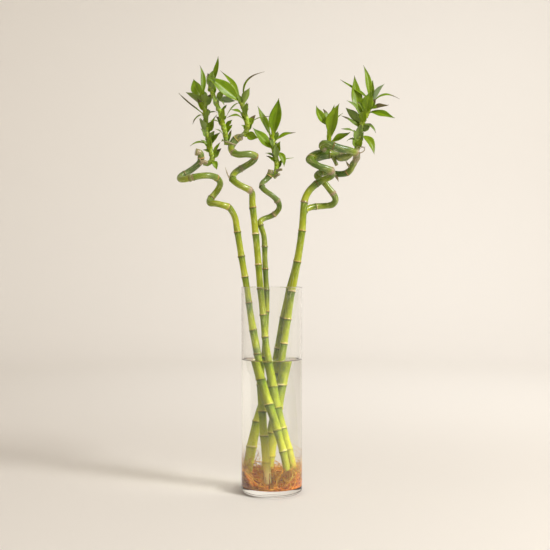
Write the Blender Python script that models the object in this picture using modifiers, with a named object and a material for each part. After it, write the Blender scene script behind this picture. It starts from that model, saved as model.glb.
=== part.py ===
"""Lucky bamboo: five spiral canes with leafy shoots, rooted in a glass cylinder of water.

Metres, +Z up. The origin is the middle of the vase's flat underside and -Y is the front.
The lists below are in millimetres. A route is a list of (x, y, z) points up the middle of a
cane or a stem, and a smooth curve is drawn through it. Every piece keeps GAP to its neighbour.
"""
import math

import bmesh
import bpy
from mathutils import Vector

MM = 0.001
GAP = 0.3

# Vase: a straight cylinder with a thick base and a rounded foot.
VASE_RADIUS = 45.0
VASE_HEIGHT = 304.0
WALL = 2.5
FLOOR = 10.0
FOOT_ROUND = 7.0
ROUND_STEPS = 36

# What the vase holds: root tufts on its floor, then clear water up to the waterline.
FILL_RADIUS = VASE_RADIUS - WALL - 0.6
ROOT_TOP = 40.0
WATERLINE = 196.0

# Leaves: open blades that Solidify thickens.
LEAF_THICKNESS = 0.6
LEAF_STATIONS = 6
LEAF_FOLD = 0.3
LEAF_GAP = 0.5
STALK_WIDTH = 1.2

CANE_STEPS = 2
STEM_STEPS = 2

# name: (radius at the foot, radius at the top, route)
CANES = {
    "far_left": (5.0, 4.7, [
        (22, -24, 37), (16.5, -22, 65), (6.5, -17.5, 106), (-5.5, -11, 149), (-15.5, -5.5, 189),
        (-22, -2.5, 220), (-30, 1, 261), (-36.2, 3.5, 300), (-45, 6, 349), (-52, 8, 390),
        (-54.5, 7.5, 406), (-59, 3, 416), (-64, -2, 422), (-72, -8, 424.5), (-82.5, -8, 427),
        (-91, -1, 428), (-92.5, 7, 433), (-87, 12, 441), (-81, 13, 449), (-77, 8, 457.5),
        (-79, 0, 463), (-86, -9, 467), (-95.5, -17, 467.5), (-107, -21, 466), (-118, -21, 463.5),
        (-128, -15, 462), (-135.5, -5, 463.5), (-135.5, 4, 468.5), (-126.5, 9, 474.5),
        (-116, 10, 482), (-107.5, 9, 490), (-105.5, 6, 497), (-107, 3, 503), (-113, 1, 504.5),
    ]),
    "left": (4.8, 4.7, [
        (29, -12.5, 37), (26.5, -12, 47), (21, -11, 71), (12.5, -8.5, 106), (6, -5.5, 141),
        (-1, -1, 186), (-7, 2, 219), (-11.5, 5, 262), (-16, 7, 301), (-20.5, 8.5, 349),
        (-26, 9, 401), (-29, 8.5, 429), (-29.5, 5, 443), (-33, -1, 447.5), (-41.5, -6, 451.5),
        (-50, -7, 456), (-57, -2, 462), (-58.5, 6, 468), (-55, 13, 475), (-46.5, 18, 481.5),
        (-38, 18, 486.5), (-30, 14, 491), (-25, 7, 496), (-26, 0, 499), (-32, -6, 500),
        (-40, -10, 499.5), (-48, -10, 499), (-55.5, -5, 502), (-60, 1, 508), (-59.5, 6, 515),
        (-55.5, 8, 522), (-50, 7, 526.5), (-45, 5, 527),
    ]),
    "middle": (4.1, 3.9, [
        (-4, 1, 13.5), (-6, 2.5, 45), (-8.5, 4.5, 84), (-10, 7, 120), (-11, 9.5, 151),
        (-11, 12, 184), (-10, 14.5, 217), (-7.5, 17, 257), (-7, 18.5, 287), (-8.5, 20, 313),
        (-10.5, 21, 347), (-11, 21, 370), (-12.5, 21, 383), (-16.5, 19.5, 395), (-17.5, 19.5, 402),
        (-11.5, 26, 407), (-2, 29, 410.5), (6, 28, 415.5), (11, 23, 422.5), (10.5, 17, 429),
        (6, 12, 435.5), (-0.5, 9, 441), (-9, 10, 447), (-14.5, 15, 453.5), (-14, 21, 460.5),
        (-8.5, 26, 466), (-3.5, 27, 472.5), (-1.5, 26, 480.5),
    ]),
    "right_rear": (4.2, 4.7, [
        (-24.5, 17, 26), (-20.5, 18.5, 74), (-12.5, 20, 117), (-4, 22, 149), (4, 24.5, 186),
        (10, 25.5, 219), (17, 25.5, 257), (27, 25, 302), (37.5, 25.5, 343), (45, 26.5, 389),
        (47.5, 29, 409.5), (50.5, 33, 419.5), (57.5, 38, 424), (68.5, 43, 426.5), (80.5, 45, 427.5),
        (92.5, 43, 429.5), (97, 38, 435.5), (94.5, 35, 443.5), (88.5, 34, 451), (82, 34, 459.5),
        (74.5, 35, 467), (69, 38, 472), (71.5, 44, 477), (82, 49, 479), (94, 51, 478),
        (105.5, 50, 477), (115, 47, 478.5), (120.5, 43, 483), (123.5, 38, 489.5),
        (127.5, 30, 496.5), (128, 20, 504), (117, 10, 507.5), (101.5, 3, 510), (86.5, 1, 514.5),
        (77, 3, 517), (75, 7, 513), (81, 9, 509),
    ]),
    "right_front": (5.4, 4.7, [
        (-3.5, 24.5, 30), (-1.5, 23.5, 50), (3.5, 20.5, 95), (7.5, 17.5, 130), (11.5, 15, 163),
        (15.5, 13.5, 192), (19, 13.5, 219), (24, 14, 256), (31.5, 14.5, 303), (38.5, 15, 342),
        (45.5, 15.5, 388), (47, 16, 410), (48, 16, 423), (50, 17, 436), (55, 19, 446.5),
        (64, 22, 456.5), (74, 23, 463.5), (83.5, 21, 467.5), (90, 15, 471), (89, 8, 476),
        (82, 3, 479.5), (71.5, 0, 482.5), (62, 1, 488), (58, 8, 494), (64, 16, 499),
        (74, 21, 502.5), (86.5, 23, 504), (98.5, 23, 502.5), (110, 22, 501.5),
    ]),
}

# name: (radius at the foot, radius at the tip, route); each springs from a cane near its top.
STEMS = {
    "far_left": (3.0, 2.3, [
        (-101.5, 7.8, 488.5), (-95, 6.5, 488), (-90, 6, 492), (-89, 6, 498), (-92, 7, 512),
        (-96.5, 8, 531), (-98, 9, 551), (-99.5, 9, 569), (-101, 9, 587),
    ]),
    "left_low": (3.0, 2.2, [
        (-66, 5, 517.5), (-68, 4, 522), (-68.5, 3, 529), (-71, 1, 540), (-76.5, -3, 562),
        (-86, -6, 586), (-91, -7, 602),
    ]),
    "left_high": (3.0, 2.2, [
        (-42.3, 4.5, 530), (-39.5, 4, 533), (-37, 3, 539), (-36.5, 2, 550.5), (-40.5, 2, 563),
        (-44, 2, 578),
    ]),
    "middle": (2.9, 2.2, [
        (2.4, 26.5, 469.5), (5.2, 26.3, 472.5), (6.3, 26, 478.5), (7.5, 25, 491), (5.5, 25, 503),
        (2.5, 25, 517), (0.5, 25, 530),
    ]),
    "right_rear": (3.0, 2.2, [
        (128, 20, 510.2), (129.5, 20, 522), (132, 20, 535), (135.5, 20, 549), (140.5, 21, 561),
        (146.5, 22, 575), (150, 22, 584),
    ]),
    "right_front": (2.9, 2.2, [
        (86.5, 23, 509.3), (86, 22, 522), (86.5, 21, 537), (87.5, 20, 553.5),
    ]),
}

# One row a leaf, lowest first: height on its stem, then the tip's (x, y, z) from there, the
# width, how far the middle arches up, and the turn of its upper side away from the front.
LEAVES = {
    "far_left": [
        (515, -29, -6, -2, 6, 4, 60), (531, 15, -3, 30, 6, 2, 50), (535, -11, -8, 19, 10, 1, 150),
        (562, -41, 6, 33, 7, -3, 75), (573, -30, 10, 24, 13, 3, 140), (578, 4, -21, 10, 12, 2, 180),
        (587, -15, -8, 26, 18, -3, 20), (587.6, -7, 5, 49, 8, 2, 15),
    ],
    "left_low": [
        (530, -15, -5, 8, 4, 1, 70), (540, 12, 4, 13, 8, 1, 30), (547, -19, -6, 3, 4.5, 1, 75),
        (581, 30, 10, 0, 11, 0, 140), (588, 2, 9, 19, 9, 1, 170), (602.6, 12, -3, 42, 8, -2, 25),
    ],
    "left_high": [
        (532, 20, -12, -8, 13, -2, 0), (546, 36, -4, 11, 4, 3, 75), (550, -30, -12, 3, 7, 5, 65),
        (561, -21, -5, 6, 8, 0, 55), (575, 11, -11, 23, 11, 2, 160), (578.2, -33, 7, 49, 10, 3, 40),
        (578.2, 33, 6, 47, 7, 12, 60), (578.2, -52, -20, 34, 20, 0, 15),
    ],
    "middle": [
        (502, 7, -12, 20, 12, 2, 10), (508, 14, -4, -23, 10, 3, 20), (511, -32, -14, 31, 17, 0, 25),
        (524, 35, 4, 14, 10, 1, 55), (530.3, -22, 5, 48, 12, 0, 35), (530.5, 10, -8, 57, 19, 2, 10),
    ],
    "right_rear": [
        (532, 22, -10, -30, 13, 5, 25), (555, -26, -14, 27, 9, 4, 40), (558, -14, 6, 66, 17, -4, 10),
        (564, 7, -14, 32, 18, 2, 10), (567, 41, -14, -11, 13, 0, 35), (571, 31, -6, 6, 11, 0, 50),
        (579, 46, 9, 10, 9, 9, 65), (583.2, 20, -4, 26, 8, 2, 160), (584.4, -11, 6, 55, 11, 3, 20),
    ],
    "right_front": [
        (521, 33, 6, 17, 12, 0, 35), (526, 15, -13, 52, 18, 4, 5), (541, 21, 8, 26, 8, 2, 60),
        (546, -20, -5, 30, 14, -3, 25), (554, 7, 4, 25, 6, 0, 30),
    ],
}

# colour, roughness and transmission of each material
COLOURS = {
    "glass": ((0.90, 0.92, 0.88), 0.03, 1.0),
    "water": ((0.93, 0.95, 0.88), 0.02, 1.0),
    "cane": ((0.30, 0.38, 0.045), 0.35, 0.0),
    "stem": ((0.27, 0.42, 0.05), 0.40, 0.0),
    "leaf": ((0.12, 0.27, 0.035), 0.40, 0.0),
    "root": ((0.60, 0.26, 0.09), 0.65, 0.0),
}


def clear_scene():
    for thing in list(bpy.data.objects):
        bpy.data.objects.remove(thing, do_unlink=True)


def make_collection(name):
    group = bpy.data.collections.new(name)
    bpy.context.scene.collection.children.link(group)
    return group


def make_material(name, kind):
    colour, roughness, transmission = COLOURS[kind]
    material = bpy.data.materials.new(name)
    material.use_nodes = True
    shader = material.node_tree.nodes["Principled BSDF"]
    shader.inputs["Base Color"].default_value = (*colour, 1.0)
    shader.inputs["Roughness"].default_value = roughness
    shader.inputs["Metallic"].default_value = 0.0
    shader.inputs["Transmission Weight"].default_value = transmission
    return material


def add_object(name, mesh, group, parent=None, kind=None):
    thing = bpy.data.objects.new(name, mesh)
    group.objects.link(thing)
    thing.parent = parent
    if kind:
        mesh.materials.append(make_material(name, kind))
    return thing


def spline_point(p0, p1, p2, p3, t):
    """The point at t between p1 and p2 on a centripetal Catmull-Rom curve."""
    d0, d1, d2 = ((b - a).length ** 0.5 for a, b in ((p0, p1), (p1, p2), (p2, p3)))
    start = p2 - p1 + d1 * ((p1 - p0) / d0 - (p2 - p0) / (d0 + d1))
    end = p2 - p1 + d1 * ((p3 - p2) / d2 - (p3 - p1) / (d1 + d2))
    cubic = 2 * (p1 - p2) + start + end
    square = 3 * (p2 - p1) - 2 * start - end
    return cubic * t ** 3 + square * t ** 2 + start * t + p1


def smooth_path(route, steps):
    """Points in metres on a smooth curve through the route, with `steps` in each stretch."""
    points = [Vector(point) * MM for point in route]
    ends = [2 * points[0] - points[1]] + points + [2 * points[-1] - points[-2]]
    path = []
    for i in range(1, len(points)):
        path += [spline_point(*ends[i - 1:i + 3], step / steps) for step in range(steps)]
    return path + [points[-1]]


def tube(name, path, foot_radius, top_radius, group, spare=0.0):
    """A round tube along the path, tapering from foot to top, as a curve with filled caps."""
    curve = bpy.data.curves.new(name, "CURVE")
    curve.dimensions = "3D"
    curve.bevel_depth = foot_radius * MM
    curve.bevel_resolution = 2
    curve.use_fill_caps = True
    line = curve.splines.new("POLY")
    line.points.add(len(path) - 1)
    for i, (point, place) in enumerate(zip(line.points, path)):
        radius = foot_radius + (top_radius - foot_radius) * i / (len(path) - 1)
        point.co = (*place, 1.0)
        point.radius = (radius + spare) / foot_radius
    thing = bpy.data.objects.new(name, curve)
    group.objects.link(thing)
    return thing


def tube_mesh(curve_object, name, group):
    """The curve object as a mesh with its caps welded, for use in a Boolean."""
    depsgraph = bpy.context.evaluated_depsgraph_get()
    mesh = bpy.data.meshes.new_from_object(curve_object.evaluated_get(depsgraph))
    cage = bmesh.new()
    cage.from_mesh(mesh)
    bmesh.ops.remove_doubles(cage, verts=cage.verts, dist=0.00001)
    cage.to_mesh(mesh)
    cage.free()
    thing = add_object(name, mesh, group)
    thing.matrix_world = curve_object.matrix_world
    bpy.data.objects.remove(curve_object, do_unlink=True)
    return thing


def hide_cutter(thing):
    thing.hide_render = True
    thing.display_type = "WIRE"


def cut(thing, cutter):
    boolean = thing.modifiers.new("cut_" + cutter.name, "BOOLEAN")
    boolean.operation = "DIFFERENCE"
    boolean.solver = "EXACT"
    boolean.object = cutter


def arc(centre_x, centre_z, radius, start, end, steps):
    """Points round an arc in the XZ plane, in degrees from +X, both ends included."""
    angles = [math.radians(start + (end - start) * i / steps) for i in range(steps + 1)]
    return [(centre_x + radius * math.cos(a), centre_z + radius * math.sin(a)) for a in angles]


def make_vase(group, parent):
    """A turned cup: up the inner wall, over the rim, down the outer wall and round the foot."""
    inner = VASE_RADIUS - WALL
    outline = [(0.0, FLOOR), (inner, FLOOR)]
    outline += arc(inner + WALL / 2, VASE_HEIGHT - WALL / 2, WALL / 2, 180, 0, 4)
    outline += arc(VASE_RADIUS - FOOT_ROUND, FOOT_ROUND, FOOT_ROUND, 0, -90, 4)
    outline.append((0.0, 0.0))
    mesh = bpy.data.meshes.new("vase")
    points = [(x * MM, 0.0, z * MM) for x, z in outline]
    mesh.from_pydata(points, [(i, i + 1) for i in range(len(points) - 1)], [])
    vase = add_object("vase", mesh, group, parent, "glass")
    turn = vase.modifiers.new("turn", "SCREW")
    turn.steps = ROUND_STEPS
    turn.render_steps = ROUND_STEPS
    turn.use_merge_vertices = True
    turn.merge_threshold = 0.00001


def disc(low, high):
    """A bmesh cylinder that fills the vase from one height to another."""
    shape = bmesh.new()
    bmesh.ops.create_cone(shape, cap_ends=True, segments=ROUND_STEPS, radius1=FILL_RADIUS * MM,
                          radius2=FILL_RADIUS * MM, depth=(high - low) * MM)
    bmesh.ops.translate(shape, verts=shape.verts, vec=(0.0, 0.0, (low + high) / 2 * MM))
    return shape


def make_water(group, parent, cutters):
    """The water above the roots, with a channel for each cane."""
    shape = disc(ROOT_TOP + GAP, WATERLINE)
    mesh = bpy.data.meshes.new("water")
    shape.to_mesh(mesh)
    shape.free()
    water = add_object("water", mesh, group, parent, "water")
    for cutter in cutters.values():
        cut(water, cutter)


def keep_near(shape, own, other):
    """Cut away what lies nearer to the other cane's foot than to this tuft's own."""
    middle = (own + other) / 2
    away = (other - own).normalized()
    faces = shape.verts[:] + shape.edges[:] + shape.faces[:]
    bmesh.ops.bisect_plane(shape, geom=faces, plane_co=middle - away * GAP * MM / 2,
                           plane_no=away, clear_outer=True)
    rim = [edge for edge in shape.edges if edge.is_boundary]
    bmesh.ops.holes_fill(shape, edges=rim)


def make_roots(group, parent, cutters):
    """A tuft of roots for each cane: the part of the bottom layer nearest to its foot."""
    feet = {name: Vector(route[0]).to_2d().to_3d() * MM for name, (_, _, route) in CANES.items()}
    for name, own in feet.items():
        shape = disc(FLOOR + GAP, ROOT_TOP)
        for other in feet.values():
            if other is not own:
                keep_near(shape, own, other)
        mesh = bpy.data.meshes.new("roots_" + name)
        shape.to_mesh(mesh)
        shape.free()
        tuft = add_object("roots_" + name, mesh, group, parent, "root")
        cut(tuft, cutters[name])


def make_canes(group, cutter_group, parent):
    """The five canes, and for each a slightly thicker tube that cuts its channel."""
    cutters = {}
    for name, (foot_radius, top_radius, route) in CANES.items():
        path = smooth_path(route, CANE_STEPS)
        cane = tube("cane_" + name, path, foot_radius, top_radius, group)
        cane.data.materials.append(make_material("cane_" + name, "cane"))
        cane.parent = parent
        below = path[0] + (path[0] - path[1]).normalized() * GAP * MM
        wide = tube("guide_" + name, [below] + path[1:], foot_radius, top_radius, cutter_group, GAP)
        cutters[name] = tube_mesh(wide, "channel_" + name, cutter_group)
        hide_cutter(cutters[name])
    return cutters


def point_at_height(path, height):
    """The point of a rising path at a height, or over its end, and how far up the path that is."""
    for i in range(len(path) - 1):
        low, high = path[i], path[i + 1]
        if low.z <= height <= high.z:
            share = (height - low.z) / (high.z - low.z)
            return low.lerp(high, share), (i + share) / (len(path) - 1)
    return Vector((path[-1].x, path[-1].y, height)), 1.0


def half_width(share, width):
    """Half a blade's width: a narrow stalk, widest below the middle, a long drawn-out tip."""
    blade = width * math.sin(math.pi * share ** 0.9) ** 1.3 if 0 < share < 1 else 0.0
    return max(blade, STALK_WIDTH) / 2 * MM


def leaf_frame(base, tip, turn):
    """The blade's across and upper-side directions; turn 0 faces the front, 90 faces up."""
    along = (tip - base).normalized()
    front = Vector((0.0, -1.0, 0.0))
    front = (front - along * front.dot(along)).normalized()
    up = along.cross(front)
    if up.z < 0:
        up.negate()
    angle = math.radians(turn)
    upper = front * math.cos(angle) + up * math.sin(angle)
    return along.cross(upper), upper, up


def make_leaf(name, base, tip, width, arch, turn, group, parent):
    """A folded blade from base to tip, as an open grid that Solidify thickens."""
    across, upper, up = leaf_frame(base, tip, turn)
    middle = (base + tip) / 2 + up * arch * MM * 2
    blade = bmesh.new()
    bmesh.ops.create_grid(blade, x_segments=2, y_segments=LEAF_STATIONS, size=1.0)
    for vertex in blade.verts:
        side = vertex.co.x
        share = (vertex.co.y + 1) / 2
        centre = base * (1 - share) ** 2 + middle * 2 * share * (1 - share) + tip * share ** 2
        half = half_width(share, width)
        vertex.co = centre + across * side * half + upper * abs(side) * half * LEAF_FOLD - base
    mesh = bpy.data.meshes.new(name)
    blade.to_mesh(mesh)
    blade.free()
    mesh.shade_smooth()
    leaf = add_object(name, mesh, group, parent, "leaf")
    leaf.location = base
    shell = leaf.modifiers.new("thickness", "SOLIDIFY")
    shell.thickness = LEAF_THICKNESS * MM
    shell.offset = 0.0


def make_shoots(group, parent):
    """Each stem with its leaves, which start just off its surface."""
    for name, (foot_radius, top_radius, route) in STEMS.items():
        path = smooth_path(route, STEM_STEPS)
        stem = tube("stem_" + name, path, foot_radius, top_radius, group)
        stem.data.materials.append(make_material("stem_" + name, "stem"))
        stem.parent = parent
        for number, (height, x, y, z, width, arch, turn) in enumerate(LEAVES[name], 1):
            centre, share = point_at_height(path, height * MM)
            radius = foot_radius + (top_radius - foot_radius) * share
            outward = Vector((x, y, 0.0)).normalized()
            base = centre + outward * (radius + LEAF_THICKNESS / 2 + LEAF_GAP) * MM
            tip = centre + Vector((x, y, z)) * MM
            make_leaf(f"leaf_{name}_{number}", base, tip, width, arch, turn, group, parent)


def main():
    clear_scene()
    parts = make_collection("lucky_bamboo")
    cutter_group = make_collection("cutters")
    centre = bpy.data.objects.new("vase_centre", None)
    parts.objects.link(centre)
    make_vase(parts, centre)
    cutters = make_canes(parts, cutter_group, centre)
    make_roots(parts, centre, cutters)
    make_water(parts, centre, cutters)
    make_shoots(parts, centre)


main()
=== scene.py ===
"""Lucky bamboo in a glass vase: the finished surfaces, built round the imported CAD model.

Lengths are in millimetres in the lists and in the shape functions, and in metres once they are
in a mesh. +Z is up, -Y is the front, and the origin is the middle of the vase's underside.
"""
import math
import random

import bpy
import numpy as np
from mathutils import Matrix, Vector, noise


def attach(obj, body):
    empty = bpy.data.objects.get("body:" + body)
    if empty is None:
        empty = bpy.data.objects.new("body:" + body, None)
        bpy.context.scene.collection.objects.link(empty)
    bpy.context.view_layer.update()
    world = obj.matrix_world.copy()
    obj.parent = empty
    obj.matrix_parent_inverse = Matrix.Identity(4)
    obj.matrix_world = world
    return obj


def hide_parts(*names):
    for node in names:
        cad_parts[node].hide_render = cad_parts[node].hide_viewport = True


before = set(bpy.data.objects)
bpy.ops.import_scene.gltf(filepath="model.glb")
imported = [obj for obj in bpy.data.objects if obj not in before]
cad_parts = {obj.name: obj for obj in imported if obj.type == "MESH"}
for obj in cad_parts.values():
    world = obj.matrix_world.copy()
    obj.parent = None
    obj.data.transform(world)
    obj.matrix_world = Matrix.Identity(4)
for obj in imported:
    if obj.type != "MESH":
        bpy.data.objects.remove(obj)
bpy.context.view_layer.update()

MM = 0.001
SEED = 7

# ---------------------------------------------------------------- sizes shared with the CAD model

VASE_RADIUS = 45.0
VASE_HEIGHT = 304.0
WALL = 2.5
FLOOR = 10.0
WATERLINE = 196.0

# name: (radius at the foot, radius at the top, route). The routes are points picked on a photo and
# turned into millimetres by a helper program, then rounded, with some moved.
CANES = {
    "far_left": (5.0, 4.7, [
        (22, -24, 37), (16.5, -22, 65), (6.5, -17.5, 106), (-5.5, -11, 149), (-15.5, -5.5, 189),
        (-22, -2.5, 220), (-30, 1, 261), (-36.2, 3.5, 300), (-45, 6, 349), (-52, 8, 390),
        (-54.5, 7.5, 406), (-59, 3, 416), (-64, -2, 422), (-72, -8, 424.5), (-82.5, -8, 427),
        (-91, -1, 428), (-92.5, 7, 433), (-87, 12, 441), (-81, 13, 449), (-77, 8, 457.5),
        (-79, 0, 463), (-86, -9, 467), (-95.5, -17, 467.5), (-107, -21, 466), (-118, -21, 463.5),
        (-128, -15, 462), (-135.5, -5, 463.5), (-135.5, 4, 468.5), (-126.5, 9, 474.5),
        (-116, 10, 482), (-107.5, 9, 490), (-105.5, 6, 497), (-107, 3, 503), (-113, 1, 504.5),
    ]),
    "left": (4.8, 4.7, [
        (29, -12.5, 37), (26.5, -12, 47), (21, -11, 71), (12.5, -8.5, 106), (6, -5.5, 141),
        (-1, -1, 186), (-7, 2, 219), (-11.5, 5, 262), (-16, 7, 301), (-20.5, 8.5, 349),
        (-26, 9, 401), (-29, 8.5, 429), (-29.5, 5, 443), (-33, -1, 447.5), (-41.5, -6, 451.5),
        (-50, -7, 456), (-57, -2, 462), (-58.5, 6, 468), (-55, 13, 475), (-46.5, 18, 481.5),
        (-38, 18, 486.5), (-30, 14, 491), (-25, 7, 496), (-26, 0, 499), (-32, -6, 500),
        (-40, -10, 499.5), (-48, -10, 499), (-55.5, -5, 502), (-60, 1, 508), (-59.5, 6, 515),
        (-55.5, 8, 522), (-50, 7, 526.5), (-45, 5, 527),
    ]),
    "middle": (4.1, 3.9, [
        (-4, 1, 13.5), (-6, 2.5, 45), (-8.5, 4.5, 84), (-10, 7, 120), (-11, 9.5, 151),
        (-11, 12, 184), (-10, 14.5, 217), (-7.5, 17, 257), (-7, 18.5, 287), (-8.5, 20, 313),
        (-10.5, 21, 347), (-11, 21, 370), (-12.5, 21, 383), (-16.5, 19.5, 395), (-17.5, 19.5, 402),
        (-11.5, 26, 407), (-2, 29, 410.5), (6, 28, 415.5), (11, 23, 422.5), (10.5, 17, 429),
        (6, 12, 435.5), (-0.5, 9, 441), (-9, 10, 447), (-14.5, 15, 453.5), (-14, 21, 460.5),
        (-8.5, 26, 466), (-3.5, 27, 472.5), (-1.5, 26, 480.5),
    ]),
    "right_rear": (4.2, 4.7, [
        (-24.5, 17, 26), (-20.5, 18.5, 74), (-12.5, 20, 117), (-4, 22, 149), (4, 24.5, 186),
        (10, 25.5, 219), (17, 25.5, 257), (27, 25, 302), (37.5, 25.5, 343), (45, 26.5, 389),
        (47.5, 29, 409.5), (50.5, 33, 419.5), (57.5, 38, 424), (68.5, 43, 426.5), (80.5, 45, 427.5),
        (92.5, 43, 429.5), (97, 38, 435.5), (94.5, 35, 443.5), (88.5, 34, 451), (82, 34, 459.5),
        (74.5, 35, 467), (69, 38, 472), (71.5, 44, 477), (82, 49, 479), (94, 51, 478),
        (105.5, 50, 477), (115, 47, 478.5), (120.5, 43, 483), (123.5, 38, 489.5),
        (127.5, 30, 496.5), (128, 20, 504), (117, 10, 507.5), (101.5, 3, 510), (86.5, 1, 514.5),
        (77, 3, 517), (75, 7, 513), (81, 9, 509),
    ]),
    "right_front": (5.4, 4.7, [
        (-3.5, 24.5, 30), (-1.5, 23.5, 50), (3.5, 20.5, 95), (7.5, 17.5, 130), (11.5, 15, 163),
        (15.5, 13.5, 192), (19, 13.5, 219), (24, 14, 256), (31.5, 14.5, 303), (38.5, 15, 342),
        (45.5, 15.5, 388), (47, 16, 410), (48, 16, 423), (50, 17, 436), (55, 19, 446.5),
        (64, 22, 456.5), (74, 23, 463.5), (83.5, 21, 467.5), (90, 15, 471), (89, 8, 476),
        (82, 3, 479.5), (71.5, 0, 482.5), (62, 1, 488), (58, 8, 494), (64, 16, 499),
        (74, 21, 502.5), (86.5, 23, 504), (98.5, 23, 502.5), (110, 22, 501.5),
    ]),
}

# name: (radius at the foot, radius at the tip, route). More than half of these points were made in
# the same way.
STEMS = {
    "far_left": (3.0, 2.3, [
        (-101.5, 7.8, 488.5), (-95, 6.5, 488), (-90, 6, 492), (-89, 6, 498), (-92, 7, 512),
        (-96.5, 8, 531), (-98, 9, 551), (-99.5, 9, 569), (-101, 9, 587),
    ]),
    "left_low": (3.0, 2.2, [
        (-66, 5, 517.5), (-68, 4, 522), (-68.5, 3, 529), (-71, 1, 540), (-76.5, -3, 562),
        (-86, -6, 586), (-91, -7, 602),
    ]),
    "left_high": (3.0, 2.2, [
        (-42.3, 4.5, 530), (-39.5, 4, 533), (-37, 3, 539), (-36.5, 2, 550.5), (-40.5, 2, 563),
        (-44, 2, 578),
    ]),
    "middle": (2.9, 2.2, [
        (2.4, 26.5, 469.5), (5.2, 26.3, 472.5), (6.3, 26, 478.5), (7.5, 25, 491), (5.5, 25, 503),
        (2.5, 25, 517), (0.5, 25, 530),
    ]),
    "right_rear": (3.0, 2.2, [
        (128, 20, 510.2), (129.5, 20, 522), (132, 20, 535), (135.5, 20, 549), (140.5, 21, 561),
        (146.5, 22, 575), (150, 22, 584),
    ]),
    "right_front": (2.9, 2.2, [
        (86.5, 23, 509.3), (86, 22, 522), (86.5, 21, 537), (87.5, 20, 553.5),
    ]),
}

# The leaves that the CAD model holds, one row each, lowest first: height on its stem, then the
# tip's (x, y, z) from there, the width, how far the middle arches up, and the turn of its upper
# side away from the front.
LEAVES = {
    "far_left": [
        (515, -29, -6, -2, 6, 4, 60), (531, 15, -3, 30, 6, 2, 50), (535, -11, -8, 19, 10, 1, 150),
        (562, -41, 6, 33, 7, -3, 75), (573, -30, 10, 24, 13, 3, 140), (578, 4, -21, 10, 12, 2, 180),
        (587, -15, -8, 26, 18, -3, 20), (587.6, -7, 5, 49, 8, 2, 15),
    ],
    "left_low": [
        (530, -15, -5, 8, 4, 1, 70), (540, 12, 4, 13, 8, 1, 30), (547, -19, -6, 3, 4.5, 1, 75),
        (581, 30, 10, 0, 11, 0, 140), (588, 2, 9, 19, 9, 1, 170), (602.6, 12, -3, 42, 8, -2, 25),
    ],
    "left_high": [
        (532, 20, -12, -8, 13, -2, 0), (546, 36, -4, 11, 4, 3, 75), (550, -30, -12, 3, 7, 5, 65),
        (561, -21, -5, 6, 8, 0, 55), (575, 11, -11, 23, 11, 2, 160), (578.2, -33, 7, 49, 10, 3, 40),
        (578.2, 33, 6, 47, 7, 12, 60), (578.2, -52, -20, 34, 20, 0, 15),
    ],
    "middle": [
        (502, 7, -12, 20, 12, 2, 10), (508, 14, -4, -23, 10, 3, 20), (511, -32, -14, 31, 17, 0, 25),
        (524, 35, 4, 14, 10, 1, 55), (530.3, -22, 5, 48, 12, 0, 35), (530.5, 10, -8, 57, 19, 2, 10),
    ],
    "right_rear": [
        (532, 22, -10, -30, 13, 5, 25), (555, -26, -14, 27, 9, 4, 40), (558, -14, 6, 66, 17, -4, 10),
        (564, 7, -14, 32, 18, 2, 10), (567, 41, -14, -11, 13, 0, 35), (571, 31, -6, 6, 11, 0, 50),
        (579, 46, 9, 10, 9, 9, 65), (583.2, 20, -4, 26, 8, 2, 160), (584.4, -11, 6, 55, 11, 3, 20),
    ],
    "right_front": [
        (521, 33, 6, 17, 12, 0, 35), (526, 15, -13, 52, 18, 4, 5), (541, 21, 8, 26, 8, 2, 60),
        (546, -20, -5, 30, 14, -3, 25), (554, 7, 4, 25, 6, 0, 30),
    ],
}

# ---------------------------------------------------------------- finer detail than the CAD model

# The rounds of the vase's foot, inside corner and rim. The CAD model's foot and rim are rounder.
FOOT_ROUND = 5.5
CORNER = 1.0
RIM_ROUND = 0.7

# The vase's underside: the width of the ring that it stands on, the bevel inside that ring as
# (width, rise), and the hollow's height at the middle.
STAND_WIDTH = 4.0
STAND_BEVEL = (4.0, 0.6)
HOLLOW = 0.9

# The water's edge at the wall, as (distance in from its edge, rise over the waterline).
MENISCUS = ((9, 0), (5, 0.05), (3, 0.2), (1.8, 0.4), (1, 0.7), (0.4, 1.1), (0, 1.5))

# How far the water reaches into the glass.
INTO_GLASS = 0.15

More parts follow.
